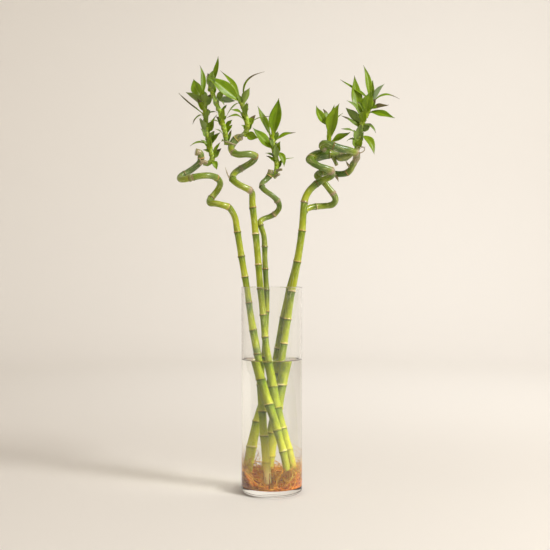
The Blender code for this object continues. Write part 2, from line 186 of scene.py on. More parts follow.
# Small leaves and sheath tips, in rows like those above. Most of these rows were worked out by a
# helper program from points picked on a photo.
SMALL_LEAVES = {
    "far_left": [
        (560.7, -19, -6, -15, 3.5, 3, 60), (561.4, 17, 4, 4, 4, 2, 60), (536.9, -10, 5, 20, 4, 1, 30),
        (525.2, 10, -4, 11, 4, 1, 20), (516, 16, 3, 19, 6, 2, 40), (511.5, -14, -5, 11, 5, 1, 50),
        (501.9, 13, -5, 17, 3.5, 1, 20), (495, 10, 2, 6, 5, 1, 50), (505, -12, -3, 3, 4, 0, 50),
        (491, 9, -7, -13, 6, 1, 20), (497, 8, -3, 2, 5, 1, 40),
    ],
    "left_low": [
        (600.7, -4, 3, 20, 6, 1, 20), (602.3, 4, -5, 20, 7, 1, 10), (578.9, 13, -4, -7, 6, 2, 70),
        (592, -6, -3, 5, 4, 0, 30), (551.5, 6, -4, 6, 3, 0, 20), (519.7, -6, -3, 17, 4, 1, 40),
        (519.7, 7, -2, 18, 4, 1, 40), (519.7, -8, -4, 0, 4, 1, 60),
    ],
    "left_high": [
        (578.3, -23, -6, -22, 2, 2, 50), (562.4, 6, -3, 6, 5, 1, 40), (538.1, -8, -4, 6, 4, 1, 50),
        (536.2, 9, -2, 11, 3.5, 0, 30),
    ],
    "middle": [
        (530.2, 9, -3, 8, 3, 0, 20), (499.1, -16, -6, 6, 4, 1, 55), (491.4, -16, -3, 10, 4, 1, 45),
        (492.4, 26, 3, 7, 1.6, 1, 60),
    ],
    "right_rear": [
        (584.3, -46, 8, 34, 4, 1, 40), (584.3, 3, 4, 32, 7, 1, 20), (550.6, -24, 6, 24, 9, 1, 150),
        (544.1, -30, -4, 17, 5, 1, 45), (534.6, -28, -8, 6, 5, 1, 60), (547.2, 21, -6, -13, 5, 4, 45),
        (520.4, -17, -5, 2, 3, 4, 60), (513, 7, -8, 13, 7, 1.5, 20), (514, -8, -6, 14, 7, 1.5, 25),
        (521, 9, -5, 15, 7, 1.5, 15), (524, -7, -8, 15, 7, 1.5, 20), (531, 3, -9, 16, 7, 1.5, 10),
    ],
    "right_front": [(553.8, -10, 5, 19, 5, 1, 30)],
}

# How big and how many each shoot's scale leaves are.
HUSK_SCALE = {"far_left": 1.25, "left_low": 1.1, "left_high": 1.1, "middle": 1.1, "right_rear": 1.4,
              "right_front": 1.1}

# How pale and bluish a leaf is: 0 is fresh green.
PALE = {
    "far_left_3": 0.5, "far_left_5": 0.35, "far_left_6": 0.3, "left_low_4": 0.9,
    "left_low_5": 0.4, "left_high_5": 0.3, "right_rear_2": 0.3, "right_rear_8": 0.9,
}

# The share of a leaf that has dried, from its tip.
DRY_TIP = {
    "far_left_4": 0.75, "left_high_7": 0.45, "left_high_6": 0.15, "right_rear_6": 0.7,
    "right_rear_7": 0.3, "left_low_6": 0.12, "far_left_1": 0.2, "middle_4": 0.25,
    "left_high_2": 0.4, "left_high_3": 0.25, "right_rear_3": 0.1, "far_left_8": 0.12,
}

# Node rings, as lengths up each cane from its foot. About half of them were worked out by a helper
# program from rings picked on a photo.
RINGS = {
    "far_left": (29, 60, 99, 137, 174, 210, 251, 290, 321, 358, 402, 447, 490, 529, 534, 575, 612),
    "left": (30, 62, 93, 124, 160, 197, 230, 269, 305, 351, 391, 421, 455, 484, 520, 559, 588),
    "middle": (32, 71, 107, 146, 186, 222, 254, 286, 318, 352, 385, 418, 446, 480, 505),
    "right_rear": (40, 78, 115, 152, 188, 235, 280, 323, 365, 401, 423, 470, 520, 562, 606, 645),
    "right_front": (22, 58, 94, 130, 191, 228, 270, 315, 362, 405, 440, 479, 520, 556),
}

# Grey-green stretches, as (middle, half length, strength) up each cane.
BLOOM = {
    "far_left": ((247, 16, 0.9), (178, 9, 0.8), (585, 50, 0.9), (500, 20, 0.4)),
    "left": ((484, 14, 1.0), (525, 35, 0.6), (580, 20, 0.8), (160, 10, 0.3)),
    "middle": ((330, 75, 0.6), (400, 12, 0.5), (470, 50, 0.7)),
    "right_rear": ((200, 14, 0.4), (470, 40, 0.3), (592, 20, 0.7), (640, 30, 0.35), (672, 8, 0.9)),
    "right_front": ((430, 12, 0.3), (490, 14, 0.3), (570, 12, 0.6)),
}

# How yellow each cane's foot is, and how much thicker each cane is than its CAD solid.
PALE_FOOT = {"far_left": 0.3, "left": 0.55, "middle": 1.0, "right_rear": 0.6, "right_front": 0.6}
SWELL = {"far_left": 0.1, "left": 0.3, "middle": 0.25, "right_rear": 0.3, "right_front": 0.45}

# Dark green stretches, in rows like those above.
DEEP = {
    "far_left": ((178, 8, 0.6), (600, 40, 0.5), (500, 10, 0.3)),
    "left": ((500, 22, 0.5), (545, 16, 0.4)),
    "middle": ((430, 45, 0.5), (500, 25, 0.7)),
    "right_rear": ((545, 45, 0.85), (640, 45, 1.0), (420, 8, 0.4)),
    "right_front": ((443, 12, 0.9), (470, 10, 0.4), (500, 24, 0.7), (540, 28, 0.95)),
}

# How far each cane is moved to the right of its CAD route, as (most, middle height, half height): it
# is moved most at the middle height, and not at all once `half height` away. The five rows were set
# one by one, with a helper program's offsets from a photo in view.
LEAN = {
    "far_left": (-2.5, 140, 240), "left": (-2.0, 160, 260), "middle": (-0.8, 240, 120),
    "right_rear": (2.5, 75, 80), "right_front": (-1.8, 110, 160),
}

# Thicker stretches, as (middle, half length, added radius) up each cane.
THICK = {
    "far_left": ((195, 50, 0.8), (120, 90, 0.6), (627, 12, 0.7)),
    "left": ((583, 20, 0.9), (531, 8, 0.4)),
    "middle": ((446, 5, 0.4), (506, 12, 0.4)),
    "right_rear": ((640, 45, 0.9), (606, 7, 0.9), (593, 6, 0.9), (580, 5, 0.6), (449, 8, 0.5)),
    "right_front": ((538, 32, 3.6), (479, 7, 0.5), (510, 8, 0.5)),
}

# Tan scars, as (middle, half length, strength) up each cane.
SCARS = {
    "far_left": ((531, 3, 0.6), (623, 5, 1.0)),
    "left": ((421, 6, 1.0), (484, 6, 0.5), (559, 3, 0.6), (594, 4, 0.8)),
    "middle": ((418, 5, 0.7), (446, 3, 0.5), (512, 4, 0.9)),
    "right_rear": ((470, 4, 0.8), (594, 12, 0.8), (606, 6, 0.6), (672, 5, 0.8)),
    "right_front": ((405, 2, 0.6), (479, 6, 0.8), (575, 6, 0.8)),
}

# Stubs, spurs, buds and dry twigs: (marks, route as (x, y, z, radius)). The marks are how grey-green,
# how tan and how dark green it is.
ODDMENTS = {
    "joint_far_left": [
        ((0.3, 0.9, 0.2), [(-107, 3, 486, 2.4), (-102, 2, 490, 3.3), (-96, 3, 488, 2.8)]),
        ((0.2, 1.0, 0.2), [(-104, 1, 489, 1.6), (-106, -2, 492, 1.0), (-107, -4, 495, 0.3)]),
    ],
    "sheath_left": [
        ((0.6, 0.8, 0.6), [(-54, 4, 515, 1.6), (-60, 0, 517, 1.5), (-67, -2, 519, 1.0),
                           (-73, -3, 521, 0.25)]),
        ((0.3, 0.9, 0.3), [(-63, -3, 465, 0.9), (-66, -5, 472, 0.8), (-69, -5, 481, 0.2)]),
        ((0.8, 0.3, 0.3), [(-51, 4, 525, 2.4), (-46, 1, 529, 2.2), (-42, 1, 531, 2.0)]),
    ],
    "stubs_middle": [
        ((0.5, 0.6, 0.9), [(4, 25, 470, 2.4), (8, 21, 472, 2.3), (11, 18, 473, 2.1)]),
        ((0.5, 0.6, 0.9), [(6, 25, 479, 2.3), (11, 21, 480, 2.2), (15, 19, 480.5, 2.0)]),
    ],
    "spur_right_rear": [
        ((0.2, 0.8, 0.9), [(97, 48, 475, 2.6), (100, 45, 471, 1.9), (102, 43, 465, 0.3)]),
        ((0.3, 0.7, 0.8), [(120, 40, 486, 2.2), (116, 36, 490, 1.9), (113, 35, 495, 0.4)]),
        ((0.5, 0.6, 0.4), [(127, 17, 505, 2.4), (129, 15, 509, 2.2), (128, 14, 512, 1.2)]),
    ],
    "twigs_right_rear": [
        ((0.0, 1.0, 0.5), [(128, 18, 506, 0.9), (134, 14, 505, 0.8), (139, 13, 509, 0.7),
                           (138, 14, 513, 0.6), (130, 16, 515, 0.5)]),
        ((0.0, 1.0, 0.5), [(128, 17, 509, 0.8), (133, 13, 512, 0.6), (140, 14, 513.5, 0.3)]),
    ],
    "stub_right_front": [
        ((0.2, 0.1, 0.7), [(91, 20, 501, 3.0), (94.5, 18, 494, 2.8), (97.5, 17, 487, 2.6)]),
        ((0.0, 1.0, 0.8), [(97, 17, 488, 2.65), (97.8, 17, 486.4, 2.3)]),
        ((0.75, 0.1, 0.0), [(96, 21, 500, 3.0), (103, 19.5, 498, 5.4), (111, 19, 499, 5.7),
                            (118, 19.5, 502, 4.4), (123, 20, 505, 2.2)]),
    ],
}

# ---------------------------------------------------------------- node graphs


class Graph:
    """A material's node tree, built one node at a time."""

    def __init__(self, name):
        self.material = bpy.data.materials.new(name)
        self.material.use_nodes = True
        self.tree = self.material.node_tree
        self.tree.nodes.clear()

    def add(self, kind, settings=None, **inputs):
        """A node of the kind, with its settings, and with values or sockets on its inputs."""
        made = self.tree.nodes.new("ShaderNode" + kind)
        for key, value in (settings or {}).items():
            setattr(made, key, value)
        for key, value in inputs.items():
            socket = made.inputs[int(key[1:])] if key[0] == "_" else made.inputs[key.replace("_", " ")]
            if isinstance(value, bpy.types.NodeSocket):
                self.tree.links.new(value, socket)
            else:
                socket.default_value = value
        return made

    def attribute(self, name):
        """The three numbers of a vector attribute of the mesh."""
        read = self.add("Attribute", {"attribute_name": name})
        split = self.add("SeparateXYZ", Vector=read.outputs["Vector"])
        return read.outputs["Vector"], split.outputs["X"], split.outputs["Y"], split.outputs["Z"]

    def scaled(self, vector, scale):
        return self.add("VectorMath", {"operation": "MULTIPLY"}, _0=vector, _1=scale).outputs["Vector"]

    def noise(self, vector, scale, detail=2.0, roughness=0.5):
        made = self.add("TexNoise", Vector=vector, Scale=scale, Detail=detail, Roughness=roughness)
        return made.outputs["Fac"]

    def math(self, operation, a, b=0.0):
        return self.add("Math", {"operation": operation}, _0=a, _1=b).outputs["Value"]

    def times(self, a, b):
        return self.math("MULTIPLY", a, b)

    def spread(self, value, low, high, to_low=0.0, to_high=1.0):
        """value's stretch from low to high, spread smoothly over to_low to to_high."""
        made = self.add("MapRange", {"interpolation_type": "SMOOTHSTEP"}, Value=value)
        for socket, number in zip(made.inputs[1:5], (low, high, to_low, to_high)):
            socket.default_value = number
        return made.outputs["Result"]

    def ramp(self, value, stops):
        """A colour ramp through (place, colour) stops."""
        made = self.add("ValToRGB", Fac=value)
        elements = made.color_ramp.elements
        while len(elements) < len(stops):
            elements.new(0.5)
        for element, (place, colour) in zip(elements, stops):
            element.position = place
            element.color = (*colour, 1.0)
        return made.outputs["Color"]

    def blend(self, amount, a, b, how="MIX"):
        """Colour a with b over it, by the amount."""
        made = self.add("Mix", {"data_type": "RGBA", "blend_type": how}, _0=amount)
        for socket, value in ((made.inputs[6], a), (made.inputs[7], b)):
            if isinstance(value, bpy.types.NodeSocket):
                self.tree.links.new(value, socket)
            else:
                socket.default_value = (*value, 1.0)
        return made.outputs[2]

    def bump(self, height, strength, distance):
        made = self.add("Bump", Height=height, Strength=strength, Distance=distance)
        return made.outputs["Normal"]

    def finish(self, shader):
        out = self.tree.nodes.new("ShaderNodeOutputMaterial")
        self.tree.links.new(shader.outputs[0], out.inputs["Surface"])
        return self.material


def rgb(red, green, blue):
    """A linear colour from 0 to 255 sRGB values."""
    return tuple((v / 12.92 if v <= 0.04045 else ((v + 0.055) / 1.055) ** 2.4)
                 for v in (red / 255, green / 255, blue / 255))


def clear_material(name, ior, tint, shade):
    """Glass or water, whose shadow is a pale tint in place of a caustic."""
    g = Graph(name)
    position = g.add("TexCoord").outputs["Object"]
    ripple = g.noise(position, 22.0, 1.0)
    solid = g.add("BsdfPrincipled", Base_Color=(*tint, 1.0), Roughness=0.0, IOR=ior,
                  Specular_IOR_Level=0.3, Transmission_Weight=1.0, Normal=g.bump(ripple, 0.04, 0.002))
    through = g.add("BsdfTransparent", Color=(*shade, 1.0))
    shadow = g.add("LightPath").outputs["Is Shadow Ray"]
    return g.finish(g.add("MixShader", _0=shadow, _1=solid.outputs[0], _2=through.outputs[0]))


def cane_material(name, specular, coat, ring_strength, highlight_strength):
    """Bamboo skin: darker below each ring, paler above it, with fine streaks along the cane and pale
    streaks painted on as highlights.
    """
    g = Graph(name)
    skin, _, _, _ = g.attribute("skin")
    _, along, above, below = g.attribute("mark")
    _, bloom, dry, deep = g.attribute("patch")
    _, yellow, ring_tone, tone = g.attribute("tint")
    streak = g.noise(g.scaled(skin, (0.9, 0.9, 0.025)), 1.0, 3.0, 0.6)
    mottle = g.noise(g.scaled(skin, (0.12, 0.12, 0.045)), 1.0, 3.0, 0.55)
    speck = g.noise(g.scaled(skin, (1.6, 1.6, 1.1)), 1.0, 2.0, 0.6)
    fleck = g.add("TexVoronoi", Vector=g.scaled(skin, (0.42, 0.42, 0.2)), Scale=1.0).outputs["Distance"]
    shifted = g.math("ADD", along, g.times(g.math("SUBTRACT", mottle, 0.5), 0.55))
    colour = g.ramp(shifted, (
        (0.0, rgb(184, 190, 50)), (0.25, rgb(172, 181, 30)), (0.6, rgb(150, 164, 14)),
        (0.88, rgb(112, 138, 12)), (1.0, rgb(80, 112, 20)),
    ))
    colour = g.blend(g.spread(streak, 0.35, 0.7, 0.0, 0.35), colour, rgb(192, 200, 66))
    colour = g.blend(g.spread(mottle, 0.5, 0.72, 0.0, 0.6), colour, rgb(90, 118, 8))
    colour = g.blend(g.spread(tone, 0.0, 1.0, 0.0, 0.62), colour, rgb(104, 132, 12))
    colour = g.blend(yellow, colour, rgb(244, 230, 82))
    colour = g.blend(g.spread(yellow, 0.72, 0.96, 0.0, 0.95), colour, rgb(255, 246, 168))
    colour = g.blend(g.times(deep, g.spread(mottle, 0.25, 0.6, 0.65, 0.95)), colour, rgb(48, 88, 12))
    patchy = g.times(bloom, g.spread(mottle, 0.3, 0.55, 0.45, 1.0))
    colour = g.blend(patchy, colour, rgb(96, 120, 68))
    # Whitish specks painted over the grey-green and dark green stretches as glints.
    glint = g.times(g.math("MAXIMUM", bloom, g.times(deep, 0.6)), g.spread(speck, 0.58, 0.7, 0.0, 0.6))
    colour = g.blend(glint, colour, rgb(196, 206, 160))
    # Pale streaks painted into the colour as highlights.
    painted_highlight = g.noise(g.scaled(skin, (0.5, 0.5, 0.09)), 1.0, 2.0, 0.6)
    colour = g.blend(g.spread(painted_highlight, 0.54, 0.68, 0.0, highlight_strength), colour, rgb(226, 230, 156))
    dots = g.spread(fleck, 0.05, 0.16, 0.5, 0.0)
    colour = g.blend(dots, colour, rgb(92, 84, 36))
    under = g.times(g.spread(below, 0.3, 3.2, 0.65, 0.0), g.spread(above, 0.2, 0.6))
    under = g.times(under, g.spread(yellow, 0.0, 0.6, 1.0, 0.35))
    colour = g.blend(under, colour, rgb(74, 84, 24))
    line = g.times(g.spread(above, 0.7, 1.5, 0.95 * ring_strength, 0.0),
                   g.spread(speck, 0.2, 0.5, 0.65, 1.0))
    line = g.times(line, g.spread(yellow, 0.0, 0.6, 1.0, 0.6))
    ring_colour = g.ramp(ring_tone, (
        (0.0, rgb(118, 96, 40)), (0.35, rgb(182, 128, 72)), (0.7, rgb(210, 166, 98)),
        (1.0, rgb(232, 204, 150)),
    ))
    colour = g.blend(line, colour, ring_colour)
    scab = g.times(g.spread(above, 1.0, 3.5, 1.0, 0.0), g.spread(mottle, 0.5, 0.62))
    scab = g.times(scab, g.spread(ring_tone, 0.45, 0.8, 0.0, 0.9))
    colour = g.blend(scab, colour, rgb(222, 204, 148))
    scar = g.times(dry, g.spread(speck, 0.3, 0.6, 0.35, 1.0))
    colour = g.blend(scar, colour, g.ramp(speck, ((0.3, rgb(100, 80, 58)), (0.7, rgb(222, 196, 168)))))
    wounds = g.times(g.math("MAXIMUM", dry, scab), g.times(speck, 2.0))
    height = g.math("ADD", g.times(streak, 0.6), g.times(speck, 0.4))
    height = g.math("ADD", height, wounds)
    rough = g.spread(mottle, 0.3, 0.7, 0.3, 0.44)
    shader = g.add("BsdfPrincipled", Base_Color=colour, Roughness=rough, Specular_IOR_Level=specular,
                   Coat_Weight=coat, Coat_Roughness=0.14, Normal=g.bump(height, 0.35, 0.0004))
    return g.finish(shader)


def leaf_material(name, base, middle, edge, rib, roughness):
    """One side of a leaf: a green blade with a rib, fine parallel veins and a dark dry tip."""
    g = Graph(name)
    _, across, share, tone = g.attribute("blade")
    _, pale, dry, _ = g.attribute("leaf_tint")
    skin, _, _, _ = g.attribute("skin")
    side = g.math("ABSOLUTE", across)
    veins = g.math("SINE", g.times(across, 42.0))
    mottle = g.noise(g.scaled(skin, (0.25, 0.25, 0.07)), 1.0, 3.0, 0.6)
    colour = g.ramp(share, ((0.0, base), (0.18, middle), (0.7, middle), (1.0, edge)))
    colour = g.blend(g.spread(mottle, 0.4, 0.65, 0.0, 0.55), colour, edge)
    colour = g.blend(g.spread(veins, -1.0, 1.0, 0.0, 0.14), colour, rib)
    colour = g.blend(g.spread(side, 0.0, 0.12, 0.45, 0.0), colour, rib)
    colour = g.blend(g.spread(side, 0.86, 1.0, 0.0, 0.4), colour, rib)
    colour = g.blend(g.times(tone, 0.5), colour, rgb(146, 168, 8))
    colour = g.blend(pale, colour, rgb(146, 168, 122))
    wander = g.math("ADD", share, g.times(g.math("SUBTRACT", mottle, 0.5), 0.3))
    dried = g.spread(g.math("ADD", wander, dry), 0.97, 1.12, 0.0, 0.9)
    colour = g.blend(dried, colour, g.ramp(mottle, ((0.35, rgb(84, 70, 48)), (0.65, rgb(136, 116, 84)))))
    height = g.math("ADD", g.times(veins, 0.25), mottle)
    shader = g.add("BsdfPrincipled", Base_Color=colour, Roughness=roughness, Specular_IOR_Level=0.35,
                   Coat_Weight=0.15, Coat_Roughness=0.2, Normal=g.bump(height, 0.25, 0.0004))
    glow = g.add("BsdfTranslucent", Color=colour)
    return g.finish(g.add("MixShader", _0=0.25, _1=shader.outputs[0], _2=glow.outputs[0]))


def stem_material():
    """Young stem: bright green sheaths, each with a pale edge and fine ribs."""
    g = Graph("stem_skin")
    skin, _, _, _ = g.attribute("skin")
    _, below, above, old = g.attribute("mark")
    streak = g.noise(g.scaled(skin, (1.4, 1.4, 0.05)), 1.0, 3.0, 0.6)
    mottle = g.noise(g.scaled(skin, (0.3, 0.3, 0.1)), 1.0, 3.0, 0.6)
    colour = g.ramp(g.times(below, 0.1), (
        (0.0, rgb(186, 208, 70)), (0.25, rgb(164, 198, 26)), (1.0, rgb(128, 168, 14))))
    colour = g.blend(g.spread(streak, 0.35, 0.7, 0.0, 0.4), colour, rgb(172, 196, 58))
    colour = g.blend(g.spread(mottle, 0.5, 0.75, 0.0, 0.5), colour, rgb(88, 126, 14))
    colour = g.blend(g.spread(above, 0.0, 2.0, 0.7, 0.0), colour, rgb(62, 92, 22))
    colour = g.blend(g.spread(below, 0.0, 0.5, 0.6, 0.0), colour, rgb(186, 186, 116))
    colour = g.blend(old, colour, rgb(92, 108, 66))
    shader = g.add("BsdfPrincipled", Base_Color=colour, Roughness=0.4, Coat_Weight=0.15,
                   Coat_Roughness=0.3, Normal=g.bump(streak, 0.4, 0.0005))
    return g.finish(shader)


def root_material(name, dark, middle, light, roughness):
    """Root skin, whose colour wanders between dark, middle and light."""
    g = Graph(name)
    position = g.add("TexCoord").outputs["Object"]
    patch = g.noise(position, 240.0, 3.0, 0.6)
    grain = g.noise(position, 900.0, 2.0, 0.6)
    _, tone, _, _ = g.attribute("root_tint")
    mixed = g.math("ADD", g.times(patch, 0.5), g.times(tone, 0.5))
    colour = g.ramp(mixed, ((0.25, dark), (0.5, middle), (0.78, light)))
    shader = g.add("BsdfPrincipled", Base_Color=colour, Roughness=roughness, Specular_IOR_Level=0.08,
                   Normal=g.bump(grain, 0.5, 0.0005))
    glow = g.add("BsdfTranslucent", Color=colour)
    return g.finish(g.add("MixShader", _0=0.3, _1=shader.outputs[0], _2=glow.outputs[0]))


def stage_material():
    g = Graph("studio_paper")
    position = g.add("TexCoord").outputs["Object"]
    fibre = g.noise(position, 380.0, 2.0)
    shader = g.add("BsdfPrincipled", Base_Color=(*rgb(236, 232, 226), 1.0), Roughness=0.9,
                   Specular_IOR_Level=0.1, Normal=g.bump(fibre, 0.05, 0.0003))
    return g.finish(shader)


# ---------------------------------------------------------------- mesh helpers


def spline_point(p0, p1, p2, p3, t):
    """The point at t between p1 and p2 on a centripetal Catmull-Rom curve."""
    d0, d1, d2 = ((b - a).length ** 0.5 for a, b in ((p0, p1), (p1, p2), (p2, p3)))
    start = p2 - p1 + d1 * ((p1 - p0) / d0 - (p2 - p0) / (d0 + d1))
    end = p2 - p1 + d1 * ((p3 - p2) / d2 - (p3 - p1) / (d1 + d2))
    cubic = 2 * (p1 - p2) + start + end
    square = 3 * (p2 - p1) - 2 * start - end
    return cubic * t ** 3 + square * t ** 2 + start * t + p1


def smooth_path(route, spacing):
    """Points about `spacing` apart on a smooth curve through the route."""
    points = [Vector(point) for point in route]
    ends = [2 * points[0] - points[1]] + points + [2 * points[-1] - points[-2]]
    path = []
    for i in range(1, len(points)):
        steps = max(1, round((points[i] - points[i - 1]).length / spacing))
        path += [spline_point(*ends[i - 1:i + 3], step / steps) for step in range(steps)]
    return path + [points[-1]]


def lengths_along(path):
    total = [0.0]
    for a, b in zip(path, path[1:]):
        total.append(total[-1] + (b - a).length)
    return total


def resampled(path, wanted):
    """Points of the path at the wanted lengths."""
    lengths = lengths_along(path)
    found = []
    i = 0
    for length in wanted:
        while i < len(path) - 2 and lengths[i + 1] < length:
            i += 1
        share = (length - lengths[i]) / (lengths[i + 1] - lengths[i])
        found.append(path[i].lerp(path[i + 1], min(max(share, 0.0), 1.0)))
    return found


def frames_along(path):
    """The (along, across, up) directions at each point, turned as little as possible."""
    frames = []
    across = None
    for i in range(len(path)):
        along = (path[min(i + 1, len(path) - 1)] - path[max(i - 1, 0)]).normalized()
        if across is None:
            across = Vector((0, -1, 0)) if abs(along.y) < 0.9 else Vector((1, 0, 0))
        across = (across - along * across.dot(along)).normalized()
        frames.append((along, across, along.cross(across)))
    return frames


def add_attribute(mesh, name, rows):
    made = mesh.attributes.new(name, "FLOAT_VECTOR", "POINT")
    made.data.foreach_set("vector", np.array(rows, np.float32).ravel())


def mesh_object(name, verts, faces, attributes=None, materials=()):
    """A smooth mesh object from points in millimetres."""
    mesh = bpy.data.meshes.new(name)
    mesh.from_pydata([tuple(c * MM for c in v) for v in verts], [], faces)
    for key, rows in (attributes or {}).items():
        add_attribute(mesh, key, rows)
    mesh.shade_smooth()
    for material in materials:
        mesh.materials.append(material)
    thing = bpy.data.objects.new(name, mesh)
    bpy.context.scene.collection.objects.link(thing)
    return thing


def ring_points(radius, z, count):
    """Points round a level circle about Z."""
    angles = [2 * math.pi * k / count for k in range(count)]
    return [(radius * math.cos(angle), radius * math.sin(angle), z) for angle in angles]


def ring_faces(start, rows, sides):
    """The faces between rows of points that each close into a ring, from the start-th point on."""
    faces = []
    for row in range(rows - 1):
        for k in range(sides):
            a = start + row * sides + k
            b = start + row * sides + (k + 1) % sides
            faces.append((a, b, b + sides, a + sides))
    return faces


class Mesh:
    """Points, faces and attribute rows gathered for one object."""

    def __init__(self):
        self.verts = []
        self.faces = []
        self.rows = {}

    def add_row(self, **rows):
        for key, row in rows.items():
            self.rows.setdefault(key, []).append(row)

    def tube(self, path, radius_at, sides, attributes_at, round_ends=True, lengths=None):
        """A closed round tube. radius_at(i, length, angle) gives each point's radius, and
        attributes_at(length, angle, radius, end) its attribute rows."""
        lengths = lengths or lengths_along(path)
        frames = frames_along(path)
        rings = [(i, 0.0, 1.0, False) for i in range(len(path))]
        if round_ends:
            cap = ((0.35, 0.93), (0.5, 0.7), (0.4, 0.3))
            rings = ([(0, -out, share, True) for out, share in reversed(cap)] + rings
                     + [(len(path) - 1, out, share, True) for out, share in cap])
        start = len(self.verts)
        for i, out, share, end in rings:
            along, across, up = frames[i]
            for k in range(sides):
                angle = 2 * math.pi * k / sides
                radius = radius_at(i, lengths[i], angle) * share
                radial = across * math.cos(angle) + up * math.sin(angle)
                self.verts.append(path[i] + along * out + radial * radius)
                self.add_row(**attributes_at(lengths[i], angle, radius, end))
        self.faces += ring_faces(start, len(rings), sides)
        last = start + (len(rings) - 1) * sides
        self.faces.append(tuple(start + k for k in reversed(range(sides))))
        self.faces.append(tuple(last + k for k in range(sides)))

    def made(self, name, materials):
        return mesh_object(name, self.verts, self.faces, self.rows, materials)


def guarded(outline, guard=0.3, long=3.0):
    """The outline with a point just inside each end of its long lines, so that they shade as flat."""
    kept = [outline[0]]
    for a, b in zip(outline, outline[1:]):
        length = math.dist(a, b)
        shares = (guard / length, 1 - guard / length) if length > long else ()
        kept += [(a[0] + (b[0] - a[0]) * share, a[1] + (b[1] - a[1]) * share) for share in shares]
        kept.append(b)
    return kept


# Edges that turn by more than this many degrees are shaded as sharp.
SHARP = 35


def turned(name, outline, material, segments=128):
    """A closed solid turned about Z from an outline of (x, z) points, both ends on the axis."""
    rim = guarded(outline)[1:-1]
    verts = [point for x, z in rim for point in ring_points(x, z, segments)]
    faces = [(a, d, c, b) for a, b, c, d in ring_faces(0, len(rim), segments)]
    first = len(verts)
    verts += [(0.0, 0.0, outline[0][1]), (0.0, 0.0, outline[-1][1])]
    last_row = (len(rim) - 1) * segments
    for k in range(segments):
        faces.append((first, k, (k + 1) % segments))
        faces.append((first + 1, last_row + (k + 1) % segments, last_row + k))
    thing = mesh_object(name, verts, faces, None, [material])
    thing.data.set_sharp_from_angle(angle=math.radians(SHARP))
    return thing


def arc(centre_x, centre_z, radius, start, end, steps):
    """Points round an arc in the XZ plane, in degrees from +X, both ends included."""
    angles = [math.radians(start + (end - start) * i / steps) for i in range(steps + 1)]
    return [(centre_x + radius * math.cos(a), centre_z + radius * math.sin(a)) for a in angles]


def place(thing, slot, *nodes):
    """The thing stands for the CAD nodes, which are hidden, and rides on the only body; slot is not used.
    """
    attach(thing, "root")
    if nodes:
        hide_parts(*nodes)
    return thing


# ---------------------------------------------------------------- vase and water


def make_vase():
    """The glass: flat inside floor with a small fillet, straight wall, round rim, round foot."""
    inner = VASE_RADIUS - WALL
    outline = [(0.0, FLOOR), (inner - CORNER, FLOOR)]
    outline += arc(inner - CORNER, FLOOR + CORNER, CORNER, -90, 0, 6)[1:]
    outline += arc(inner + RIM_ROUND, VASE_HEIGHT - RIM_ROUND, RIM_ROUND, 180, 90, 5)
    outline += arc(VASE_RADIUS - RIM_ROUND, VASE_HEIGHT - RIM_ROUND, RIM_ROUND, 90, 0, 5)
    outline += arc(VASE_RADIUS - FOOT_ROUND, FOOT_ROUND, FOOT_ROUND, 0, -90, 10)
    stand_edge = VASE_RADIUS - FOOT_ROUND - STAND_WIDTH
    bevel_width, bevel_rise = STAND_BEVEL
    outline += [(stand_edge, 0.0), (stand_edge - bevel_width, bevel_rise), (0.0, HOLLOW)]
    material = clear_material("vase_glass", 1.5, (0.99, 0.993, 0.98), (0.985, 0.985, 0.975))
    place(turned("glass_vase", outline, material), "glass", "vase")


def make_water():
    """Water that wets the wall: it climbs a little at the glass and reaches just into it."""
    edge = VASE_RADIUS - WALL + INTO_GLASS
    outline = [(0.0, WATERLINE)]
    outline += [(edge - back, WATERLINE + rise) for back, rise in MENISCUS]
    outline += arc(edge - CORNER, FLOOR + CORNER - INTO_GLASS, CORNER, 0, -90, 6)
    outline.append((0.0, FLOOR - INTO_GLASS))
    material = clear_material("water_clear", 1.333, (1.0, 1.0, 0.995), (0.995, 0.99, 0.98))
    place(turned("clear_water", outline, material), "water", "water")


# ---------------------------------------------------------------- canes

CANE_SIDES = 28
ODDMENT_SIDES = 14
PAST_END = 40.0         # how far past each end of a cane the next ring would be
PALE_FROM = -10.0       # the length up a cane where its foot is palest, just below its end
PALE_REACH = 105.0      # how far from there the pale foot fades out
GREENER_FROM = 360.0    # the length up a cane from which its skin turns a darker green
GREENER_OVER = 80.0


def bell(value, middle, half):
    """1 at the middle, smoothly down to 0 at half away."""
    away = abs(value - middle) / half
    return 0.0 if away >= 1 else (1 - away * away) ** 2


def strongest(stretches, length):
    """The most that (middle, half length, strength) stretches give at a length."""
    return max(strength * bell(length, middle, half) for middle, half, strength in stretches)


def cane_route(name):
    """A cane's CAD route, with its lean added."""
    most, middle, half = LEAN[name]
    return [(x + most * bell(z, middle, half), y, z) for x, y, z in CANES[name][2]]


def cane_stations(total, rings):
    """Lengths up a cane: even steps, and close ones at each ring."""
    close = [ring + step for ring in rings for step in (-1.6, -0.8, -0.4, 0.0, 0.4, 0.8, 1.6)]
    even = [total * i / round(total / 2.0) for i in range(round(total / 2.0) + 1)]
    kept = [length for length in even if all(abs(length - ring) > 2.0 for ring in rings)]
    return sorted({0.0, total, *kept, *(length for length in close if 0.5 < length < total - 0.5)})


